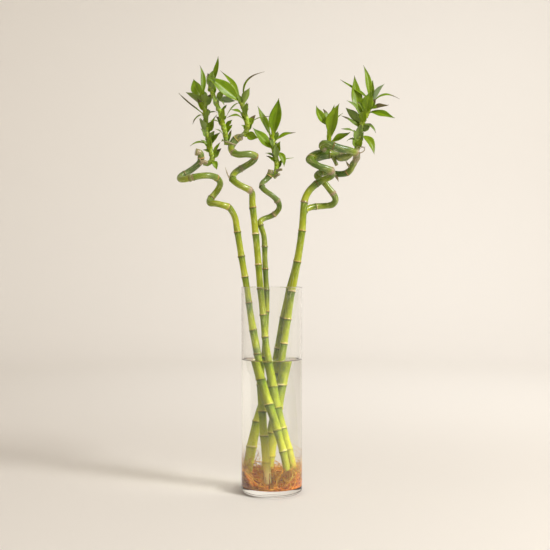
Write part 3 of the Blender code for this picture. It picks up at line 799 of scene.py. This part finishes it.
def make_cane(name, skins, rng):
    """A cane with its rings, whose skin is the second of the two skins below the waterline."""
    foot, top, _ = CANES[name]
    fine = smooth_path(cane_route(name), 0.7)
    total = lengths_along(fine)[-1]
    rings = [-PAST_END] + list(RINGS[name]) + [total + PAST_END]
    stations = cane_stations(total, rings)
    path = resampled(fine, stations)
    tones = [rng.random() for _ in rings]
    ring_tones = [rng.random() ** 1.4 for _ in rings]
    swells = [rng.uniform(0.35, 0.75) for _ in rings]
    slants = [(rng.uniform(0.2, 0.6), rng.uniform(0, 6.3), rng.uniform(0, 0.25)) for _ in rings]

    def slant(k, angle):
        tilt, phase, wave = slants[k]
        return tilt * math.sin(angle + phase) + wave * math.sin(3 * angle + phase)

    def between(length, angle):
        """The ring below, the share of the internode, and the distances to the rings either way."""
        k = max(i for i, ring in enumerate(rings) if ring <= length + 0.01)
        above = length - rings[k] + slant(k, angle)
        below = rings[k + 1] - length - slant(k + 1, angle)
        share = (length - rings[k]) / (rings[k + 1] - rings[k])
        return k, share, max(above, 0.0), max(below, 0.0)

    def radius_at(i, length, angle):
        k, share, above, below = between(length, angle)
        near, away = (k, above) if above < below else (k + 1, below)
        taper = foot + (top - foot) * min(1.0, length / total) + SWELL[name]
        taper += strongest(THICK[name], length)
        ridge = swells[near] * math.exp(-(away / 0.9) ** 2) + 0.22 * math.exp(-(away / 4.5) ** 2)
        wander = noise.noise(Vector((math.cos(angle), math.sin(angle), length * 0.03 + foot * 9)))
        return taper - 0.22 * math.sin(math.pi * share) + ridge + 0.2 * wander

    def attributes_at(length, angle, radius, end):
        k, share, above, below = between(length, angle)
        bloom, dry, deep = (strongest(rows[name], length) for rows in (BLOOM, SCARS, DEEP))
        pale_foot = PALE_FOOT[name] * bell(length, PALE_FROM, PALE_REACH)
        near = k if above < below else k + 1
        greener = min(max((length - GREENER_FROM) / GREENER_OVER, 0.0), 1.0)
        return {
            "skin": (math.cos(angle) * radius, math.sin(angle) * radius, length + foot * 700),
            "mark": (share, min(above, 8.0), min(below, 8.0)),
            "patch": (bloom, 1.0 if end and length > 1 else dry, deep),
            "tint": (pale_foot, ring_tones[near], 0.4 * tones[k] + 0.6 * greener),
        }

    shape = Mesh()
    shape.tube(path, radius_at, CANE_SIDES, attributes_at, lengths=stations)
    cane = shape.made("bamboo_" + name, skins)
    for face in cane.data.polygons:
        face.material_index = 1 if face.center.z < WATERLINE * MM else 0
    place(cane, "cane", "cane_" + name)


def make_oddments(skin):
    """Stubs, spurs, buds and dry twigs, as tapered tubes, one piece for each place."""
    for name, rows in ODDMENTS.items():
        shape = Mesh()
        for (bloom, dry, deep), route in rows:
            path = smooth_path([row[:3] for row in route], 0.8)
            radii = [row[3] for row in route]
            total = lengths_along(path)[-1]

            def radius_at(i, length, angle):
                along = min(length / total, 0.9999) * (len(radii) - 1)
                k = int(along)
                base = radii[k] + (radii[k + 1] - radii[k]) * (along - k)
                spot = Vector((math.cos(angle), math.sin(angle), length * 0.2 + radii[0] * 5))
                return base * (1 + 0.14 * noise.noise(spot))

            def attributes_at(length, angle, radius, end):
                return {
                    "skin": (math.cos(angle) * radius, math.sin(angle) * radius, length + total * 31),
                    "mark": (0.5, 8.0, 8.0),
                    "patch": (bloom, dry, deep),
                    "tint": (0.0, 0.5, 0.5),
                }

            shape.tube(path, radius_at, ODDMENT_SIDES, attributes_at)
        place(shape.made(name, [skin]), "stem")


# ---------------------------------------------------------------- shoots and leaves

SHEATH = 0.75               # how much the sheaths thicken a stem
COLLARS = 9                 # sheath edges on a stem besides those at its leaves
STEM_SIDES = 24
LEAF_THICKNESS = 0.45
SMALL_LEAF_THICKNESS = 0.35
CLASPED = 0.16              # the share of a leaf that clasps its stem
HUSK_SPACING = 9.5


def point_at_height(path, height):
    """The point of a rising path at a height, or over its end, and how far up the path that is."""
    for i in range(len(path) - 1):
        low, high = path[i], path[i + 1]
        if low.z <= height <= high.z:
            share = (height - low.z) / (high.z - low.z)
            return low.lerp(high, share), (i + share) / (len(path) - 1)
    return Vector((path[-1].x, path[-1].y, height)), 1.0


def half_width(share, width, stalk, small):
    """Half a blade's width: a neck, widest below the middle, and a long drawn-out tip."""
    if share >= 1:
        return 0.12
    lean, point = (0.72, 0.95) if small else (0.9, 1.25)
    blade = width * math.sin(math.pi * share ** lean) ** point if share > 0 else 0.0
    neck = stalk * (1 - min(1.0, share / 0.3)) ** 0.7
    return max(blade, neck, 0.24 if share > 0.9 else 0.5) / 2


def leaf_frame(base, tip, turn):
    """The blade's across and upper-side directions; turn 0 faces the front, 90 faces up."""
    along = (tip - base).normalized()
    front = Vector((0.0, -1.0, 0.0))
    front = (front - along * front.dot(along)).normalized()
    up = along.cross(front)
    if up.z < 0:
        up.negate()
    angle = math.radians(turn)
    upper = front * math.cos(angle) + up * math.sin(angle)
    return along.cross(upper), upper, up


def bezier(points, share):
    """The point at a share of the way along a cubic Bezier curve."""
    first, second, third, last = points
    rest = 1 - share
    return (first * rest ** 3 + second * 3 * share * rest ** 2
            + third * 3 * share ** 2 * rest + last * share ** 3)


def add_leaf(shape, stem, row, rng, pale=0.0, dry=0.0, small=False):
    """One leaf as an open sheet: it clasps the stem, then opens into a folded, wavy blade."""
    across_steps, along_steps = (6, 16) if small else (10, 26)
    path, foot_radius, top_radius = stem
    height, x, y, z, width, arch, turn = row
    centre, on_stem = point_at_height(path, height)
    radius = foot_radius + (top_radius - foot_radius) * on_stem + SHEATH
    outward = Vector((x, y, 0.0)).normalized()
    base = centre + outward * (radius + 0.2)
    tip = centre + Vector((x, y, z))
    across, upper, up = leaf_frame(base, tip, turn)
    reach = (tip - base).length
    middle = (base + tip) / 2 + up * arch * 2
    lean = Vector((0, 0, 1)) * 0.07 * reach
    first = base + (middle - base) * (2 / 3) + lean
    second = tip + (middle - tip) * (2 / 3)
    sideways = outward.cross(Vector((0, 0, 1)))
    fold = rng.uniform(0.25, 0.5)
    phase = rng.uniform(0, 2 * math.pi)
    tone = rng.random()
    twist = rng.uniform(-0.4, 0.4)
    bend = rng.uniform(-0.05, 0.05) * reach
    clasp_height = min(7.0, 0.18 * reach + 2.0)
    start = len(shape.verts)
    flip = 1.0 if across.dot(sideways) >= 0 else -1.0
    for j in range(along_steps + 1):
        share = (j / along_steps) ** 1.08
        point = bezier((base, first, second, tip), share)
        half = half_width(share, width, min(width * 0.6, 4.4), small)
        turned_by = twist * (share - 0.4)
        side_way = across * math.cos(turned_by) + upper * math.sin(turned_by)
        face_way = upper * math.cos(turned_by) - across * math.sin(turned_by)
        point = point + side_way * bend * math.sin(math.pi * share) * share
        hold = max(0.0, 1 - share / CLASPED)
        hold = hold * hold * (3 - 2 * hold)
        for i in range(across_steps + 1):
            side = 2 * i / across_steps - 1
            rise = fold * abs(side) ** 1.3 * half
            wave = 0.13 * half * side * abs(side) * math.sin(9 * share + phase + side)
            blade = point + side_way * side * half + face_way * (rise + wave)
            if hold > 0:
                angle = side * 2.1
                grip = (outward * math.cos(angle) + sideways * flip * math.sin(angle)) * (radius + 0.25)
                rise_up = Vector((0, 0, share / CLASPED * clasp_height - clasp_height * 0.8))
                blade = blade.lerp(centre + rise_up + grip, hold)
            shape.verts.append(blade)
            shape.add_row(blade=(side, share, tone), leaf_tint=(pale, dry, 0.0),
                          skin=(side * half, 0.0, share * reach + start * 0.37))
    wide = across_steps + 1
    for j in range(along_steps):
        for i in range(across_steps):
            a = start + j * wide + i
            shape.faces.append((a, a + 1, a + 1 + wide, a + wide))


def thicken(thing, thickness):
    """Gives a sheet its thickness; its underside and rim take the second material."""
    shell = thing.modifiers.new("thickness", "SOLIDIFY")
    shell.thickness = thickness * MM
    shell.offset = 0.0
    shell.material_offset = 1
    shell.material_offset_rim = 1
    return thing


def husks(name, rng):
    """Rows for the short upright scale leaves that hide most of a young stem."""
    route = STEMS[name][2]
    scale = HUSK_SCALE[name]
    low, high = route[2][2], route[-1][2]
    count = round((high - low) / HUSK_SPACING * scale)
    rows = []
    for k in range(count):
        angle = 2.5 * k + rng.uniform(-0.5, 0.5)
        height = low + (high - low) * (k + 0.4) / count
        out = rng.uniform(7.5, 12.5) * scale
        rows.append((height, out * math.cos(angle), out * math.sin(angle), rng.uniform(11, 19),
                     rng.uniform(6.5, 9.0) * scale, rng.uniform(0.5, 2.0), rng.uniform(5, 45)))
    return rows


def make_shoot(name, stem_skin, leaf_skins, rng):
    """A shoot: its stem in overlapping sheaths, its leaves, and its small leaves in one piece."""
    foot, top, route = STEMS[name]
    path = smooth_path(route, 0.8)
    lengths = lengths_along(path)
    total = lengths[-1]
    stem = (path, foot, top)
    collars = [(total, Vector((0, -1, 0)))]
    for height, x, y, *_ in LEAVES[name] + SMALL_LEAVES[name]:
        _, share = point_at_height(path, height)
        collars.append((share * total, Vector((x, y, 0)).normalized()))
    for k in range(COLLARS):
        way = Vector((math.sin(k * 2.4), math.cos(k * 2.4), 0))
        collars.append((total * (k + 0.5) / COLLARS, way))
    frames = frames_along(path)

    def sheath(length, angle):
        """How far a point is below the next sheath edge, and how far above the last one."""
        i = min(int(length / total * (len(path) - 1) + 0.5), len(path) - 1)
        _, across, up = frames[i]
        radial = across * math.cos(angle) + up * math.sin(angle)
        edges = [spot + 2.6 * radial.dot(way) - length for spot, way in collars]
        return (min((e for e in edges if e > 0), default=12.0),
                min((-e for e in edges if e <= 0), default=12.0))

    def radius_at(i, length, angle):
        below, above = sheath(length, angle)
        taper = foot + (top - foot) * length / total
        return taper + SHEATH - 0.15 + 0.55 * math.exp(-below / 3.0) - 0.2 * math.exp(-above / 1.5)

    def attributes_at(length, angle, radius, end):
        below, above = sheath(length, angle)
        old = bell(length, 0.0, 0.3 * total) * 0.45
        return {
            "skin": (math.cos(angle) * radius, math.sin(angle) * radius, length + foot * 300),
            "mark": (min(below, 12.0), min(above, 12.0), old),
        }

    shape = Mesh()
    shape.tube(path, radius_at, STEM_SIDES, attributes_at)
    place(shape.made("shoot_" + name, [stem_skin]), "stem", "stem_" + name)
    for number, row in enumerate(LEAVES[name], 1):
        own = f"{name}_{number}"
        sheet = Mesh()
        add_leaf(sheet, stem, row, rng, PALE.get(own, 0.0), DRY_TIP.get(own, 0.05))
        blade = thicken(sheet.made("blade_" + own, leaf_skins), LEAF_THICKNESS)
        place(blade, "leaf", "leaf_" + own)
    sheet = Mesh()
    wider = [row[:4] + (row[4] * 1.4 + 0.6,) + row[5:] for row in SMALL_LEAVES[name]]
    for row in wider + husks(name, rng):
        pale = rng.choice((0.0, 0.2, 0.4))
        dry = rng.choice((0.05, 0.15, 0.4))
        add_leaf(sheet, stem, row, rng, pale, dry, small=True)
    small = thicken(sheet.made("small_leaves_" + name, leaf_skins), SMALL_LEAF_THICKNESS)
    place(small, "leaf")


# ---------------------------------------------------------------- roots

ROOT_REACH = VASE_RADIUS - WALL - 0.6
FOOT_BARE = (-4.0, 6.5, 1.0)    # where no root hides the middle cane's foot: middle x, half width, most y
FOOT_LOW = (-4.0, 11.0, 3.0)    # where threads stay low round that foot, in the same terms
LOW_THREAD = 1.5                # how far over the heap those threads rise
TUFTS = ((-7, 9), (27, -4), (6, 22))    # where every third thread starts, near one of these

STRANDS = 430
THREADS_A_CANE = 15
THREADS = 380
HAIRS = 110

# The heap's side from the floor up, as (share of its height, how far it flares past its edge).
HEAP_SIDE = ((0.0, 3.2), (0.06, 3.0), (0.12, 1.6), (0.3, 0.0), (0.5, 0.0), (0.7, 0.0), (0.88, 0.0))


def is_near(x, y, zone):
    """Whether a place is inside a zone of (middle x, half width, most y)."""
    middle, half_width, most_y = zone
    return abs(x - middle) < half_width and y < most_y


def heap_top(x, y):
    """The height of the root heap: low at the front, high at the sides and the back."""
    rise = 0.85 * (x / 38) ** 2 + 0.7 * (y + 8) / 50
    lump = noise.fractal(Vector((x * 0.07, y * 0.07, 3.3)), 1.0, 2.0, 4)
    return FLOOR + 3.0 + 24 * min(max(rise, 0.0), 1.0) + 3.0 * lump


def kept_in_vase(point, radius, over_heap):
    """The point moved back inside the wall, over the floor, and at most so far over the heap."""
    out = math.hypot(point.x, point.y)
    most = ROOT_REACH - radius
    if out > most:
        point.x *= most / out
        point.y *= most / out
    bare = is_near(point.x, point.y, FOOT_BARE)
    top = heap_top(point.x, point.y) + (min(over_heap, -1.0) if bare else over_heap)
    point.z = max(min(point.z, top), FLOOR + 0.3 + radius)
    return point


def curl(rng, start, way, count, step, radius, over_heap, wander, sink):
    """A root's path: a walk that turns smoothly, sinks, and follows the wall and the floor."""
    path = [start.copy()]
    way = way.normalized()
    drift = Vector((rng.gauss(0, 1), rng.gauss(0, 1), rng.gauss(0, 0.6)))
    for _ in range(count):
        drift = drift * 0.8 + Vector((rng.gauss(0, 1), rng.gauss(0, 1), rng.gauss(0, 0.7))) * 0.6
        way = (way + drift * wander + Vector((0, 0, -sink))).normalized()
        point = kept_in_vase(path[-1] + way * step, radius, over_heap)
        moved = point - path[-1]
        if moved.length < step * 0.3:
            way = Vector((-path[-1].y, path[-1].x, rng.uniform(-6, 6))).normalized() * rng.choice((-1, 1))
            point = kept_in_vase(path[-1] + way * step, radius, over_heap)
            moved = point - path[-1]
        if moved.length < step * 0.1:
            break
        way = (way * 0.5 + moved.normalized() * 0.5).normalized()
        path.append(point)
    return path


def add_root(shape, path, radius, sides, tone):
    """A thin tapering root along a path."""
    if len(path) < 3:
        return
    count = len(path) - 1

    def radius_at(i, length, angle):
        return radius * (1 - 0.75 * (i / count) ** 1.5)

    shape.tube(path, radius_at, sides, lambda *_: {"root_tint": (tone, 0.0, 0.0)}, round_ends=False)


def spot_in_vase(rng, reach=ROOT_REACH):
    angle = rng.uniform(0, 2 * math.pi)
    out = reach * math.sqrt(rng.random())
    return out * math.cos(angle), out * math.sin(angle)


def make_heap(material):
    """The matted core of the roots: a lumpy solid from the vase's floor to the heap's top."""
    rings, sectors = 26, 96
    heap = Mesh()
    edge = ROOT_REACH - 1.6

    def add_ring(out, level):
        for k in range(sectors):
            angle = 2 * math.pi * k / sectors
            x, y = out * math.cos(angle), out * math.sin(angle)
            top = heap_top(x, y) - 1.0
            bottom = FLOOR + 0.1
            z = bottom + (top - bottom) * level
            lump = noise.fractal(Vector((x * 0.3, y * 0.3, z * 0.3)), 1.0, 2.0, 3)
            inward = 1 - 0.03 * (1 + lump) * (1 if 0.1 < level < 1 else 0)
            heap.verts.append(Vector((x * inward, y * inward, z + (lump * 1.3 if level == 1 else 0))))
            heap.add_row(root_tint=(0.5 + 0.5 * lump, 0.0, 0.0))

    for level, flare in HEAP_SIDE:
        add_ring(edge + flare, level)
    for ring in range(rings):
        add_ring(edge * (1 - ring / rings), 1.0)
    rows = len(heap.verts) // sectors
    heap.faces += ring_faces(0, rows, sectors)
    last = (rows - 1) * sectors
    heap.faces.append(tuple(last + k for k in range(sectors)))
    heap.faces.append(tuple(k for k in reversed(range(sectors))))
    place(heap.made("root_heap", [material]), "root", *["roots_" + name for name in CANES])


def make_strands(rng, material):
    """Thick short roots lying in the top of the heap."""
    strands = Mesh()
    for _ in range(STRANDS):
        x, y = spot_in_vase(rng)
        start = kept_in_vase(Vector((x, y, heap_top(x, y) + rng.uniform(-4, 2))), 0.8, 2.0)
        way = Vector((rng.gauss(0, 1), rng.gauss(0, 1), rng.uniform(-0.3, 0.3)))
        radius = rng.uniform(0.5, 1.3)
        path = curl(rng, start, way, rng.randint(7, 18), 1.8, radius, rng.uniform(1.0, 3.5), 0.5, 0.03)
        add_root(strands, path, radius, 6, rng.random())
    place(strands.made("root_strands", [material]), "root")


def add_foot_threads(threads, name, rng):
    """The threads that grow from a cane's foot and sink into the heap."""
    foot_radius = CANES[name][0]
    foot = Vector(cane_route(name)[0])
    for _ in range(THREADS_A_CANE):
        angle = rng.uniform(0, 2 * math.pi)
        out = Vector((math.cos(angle), math.sin(angle), 0.0))
        start = foot + out * foot_radius * 0.8 + Vector((0, 0, rng.uniform(-1, 5)))
        radius = rng.uniform(0.4, 0.85)
        way = out + Vector((0, 0, -0.5))
        path = curl(rng, start, way, rng.randint(14, 30), 1.8, radius, 30.0, 0.16, 0.16)
        add_root(threads, path, radius, 6, rng.uniform(0.2, 1.0))


def make_threads(rng, material):
    """Thinner roots: some from each cane's foot, and more over the heap."""
    threads = Mesh()
    for name in CANES:
        add_foot_threads(threads, name, rng)
    for number in range(THREADS):
        x, y = spot_in_vase(rng)
        if number % 3 == 0:
            x, y = rng.choice(TUFTS) + np.array((rng.gauss(0, 6), rng.gauss(0, 6)))
        start = kept_in_vase(Vector((x, y, heap_top(x, y) + rng.uniform(0, 8))), 0.3, 8.0)
        way = Vector((rng.gauss(0, 1), rng.gauss(0, 1), rng.uniform(-0.1, 0.9)))
        radius = rng.uniform(0.25, 0.55)
        over = rng.uniform(4, 18)
        if is_near(x, y, FOOT_LOW):
            over = LOW_THREAD
        path = curl(rng, start, way, rng.randint(8, 22), 1.6, radius, over, 0.34, 0.015)
        add_root(threads, path, radius, 4, rng.random())
    place(threads.made("root_threads", [material]), "root")


def make_hairs(rng, material):
    """Fine hairs that rise near the wall, mostly at the left and the right."""
    hairs = Mesh()
    for _ in range(HAIRS):
        angle = rng.choice((rng.gauss(math.pi, 0.7), rng.gauss(0.0, 0.6), rng.uniform(0, 6.3)))
        out = rng.uniform(0.8, 1.0) * ROOT_REACH
        start = Vector((out * math.cos(angle), out * math.sin(angle), rng.uniform(30, 38)))
        way = Vector((rng.gauss(0, 0.7), rng.gauss(0, 0.7), rng.uniform(0.7, 1.5)))
        radius = rng.uniform(0.2, 0.36)
        path = curl(rng, start, way, rng.randint(10, 28), 1.8, radius, 60.0, 0.13, 0.0)
        add_root(hairs, path, radius, 4, rng.uniform(0.3, 1.0))
    place(hairs.made("root_hairs", [material]), "root")


def make_roots(rng):
    """The heap and the three kinds of separate roots, each in its own colour; the heap is darker than the
    roots on it, partly its own colour and partly painted shade in the gaps between them.
    """
    # The heap's darker colour is partly painted shade, for the gaps between the roots lying on it.
    core = root_material("root_core_and_shade", rgb(140, 66, 4), rgb(204, 110, 14), rgb(238, 152, 36), 0.7)
    rust = root_material("root_rust", rgb(166, 74, 2), rgb(240, 142, 16), rgb(255, 210, 74), 0.5)
    gold = root_material("root_gold", rgb(222, 132, 8), rgb(248, 188, 40), rgb(255, 232, 108), 0.5)
    tan = root_material("root_tan", rgb(140, 84, 22), rgb(192, 132, 50), rgb(234, 188, 96), 0.5)
    make_heap(core)
    make_strands(rng, rust)
    make_threads(rng, gold)
    make_hairs(rng, tan)


# ---------------------------------------------------------------- camera, light and stage


def make_stage():
    """A pale floor that curves up into a round wall far outside the object."""
    floor_radius, bend, wall_top = 2000.0, 900.0, 3600.0
    under_vase = 0.3
    outline = [(x, -under_vase) for x in (0.0, 60.0, 400.0, 1200.0)]
    for degrees in range(0, 91, 6):
        angle = math.radians(degrees)
        x = floor_radius + bend * math.sin(angle)
        outline.append((x, bend * (1 - math.cos(angle)) - under_vase))
    outline.append((floor_radius + bend, wall_top))
    segments = 96
    verts = [point for x, z in outline[1:] for point in ring_points(x, z, segments)]
    faces = ring_faces(0, len(outline) - 1, segments)
    faces.append(tuple(range(segments - 1, -1, -1)))
    stage = mesh_object("studio_floor", verts, faces, None, [stage_material()])


def area_light(name, place_at, aim, size, power, colour):
    light = bpy.data.lights.new(name, "AREA")
    light.shape = "DISK"
    light.size = size
    light.energy = power
    light.color = colour
    thing = bpy.data.objects.new(name, light)
    thing.location = place_at
    thing.rotation_euler = (Vector(aim) - Vector(place_at)).to_track_quat("-Z", "Y").to_euler()
    thing.visible_camera = False
    bpy.context.scene.collection.objects.link(thing)
    return thing


def make_light():
    world = bpy.data.worlds.new("soft_room")
    world.use_nodes = True
    shader = world.node_tree.nodes["Background"]
    shader.inputs["Color"].default_value = (1.0, 0.91, 0.815, 1.0)
    shader.inputs["Strength"].default_value = 0.51
    bpy.context.scene.world = world
    area_light("key", (1.55, -0.85, 1.75), (0.0, 0.0, 0.25), 0.6, 40.0, (1.0, 0.99, 0.97))
    wash = area_light("wall_wash", (0.6, 0.3, 2.1), (0.6, 2.8, 0.25), 0.9, 11.5, (0.94, 0.97, 1.0))
    wash.data.spread = math.radians(112)


def make_camera():
    camera = bpy.data.cameras.new("camera")
    camera.lens = 59.5
    camera.sensor_width = 36.0
    thing = bpy.data.objects.new("camera", camera)
    thing.location = (0.0048, -1.35, 0.3215)
    thing.rotation_euler = (math.radians(90), 0.0, 0.0)
    bpy.context.scene.collection.objects.link(thing)
    bpy.context.scene.camera = thing


def main():
    rng = random.Random(SEED)
    make_vase()
    make_water()
    skin = cane_material("cane_skin", 0.35, 0.4, 1.0, 0.36)
    wet_skin = cane_material("cane_skin_wet", 0.06, 0.0, 0.55, 0.14)
    for name in CANES:
        make_cane(name, [skin, wet_skin], rng)
    stem_skin = stem_material()
    upper = leaf_material("leaf_upper", rgb(186, 208, 28), rgb(134, 170, 6), rgb(82, 120, 2),
                          rgb(178, 202, 44), 0.34)
    under = leaf_material("leaf_under", rgb(188, 206, 56), rgb(152, 177, 44), rgb(112, 144, 24),
                          rgb(182, 200, 84), 0.45)
    for name in STEMS:
        make_shoot(name, stem_skin, [upper, under], rng)
    make_oddments(skin)
    make_roots(rng)
    make_stage()
    make_light()
    make_camera()
    bpy.context.scene.view_settings.view_transform = "Standard"
    cycles = bpy.context.scene.cycles
    cycles.max_bounces = 32
    cycles.transmission_bounces = 32
    cycles.transparent_max_bounces = 32


main()
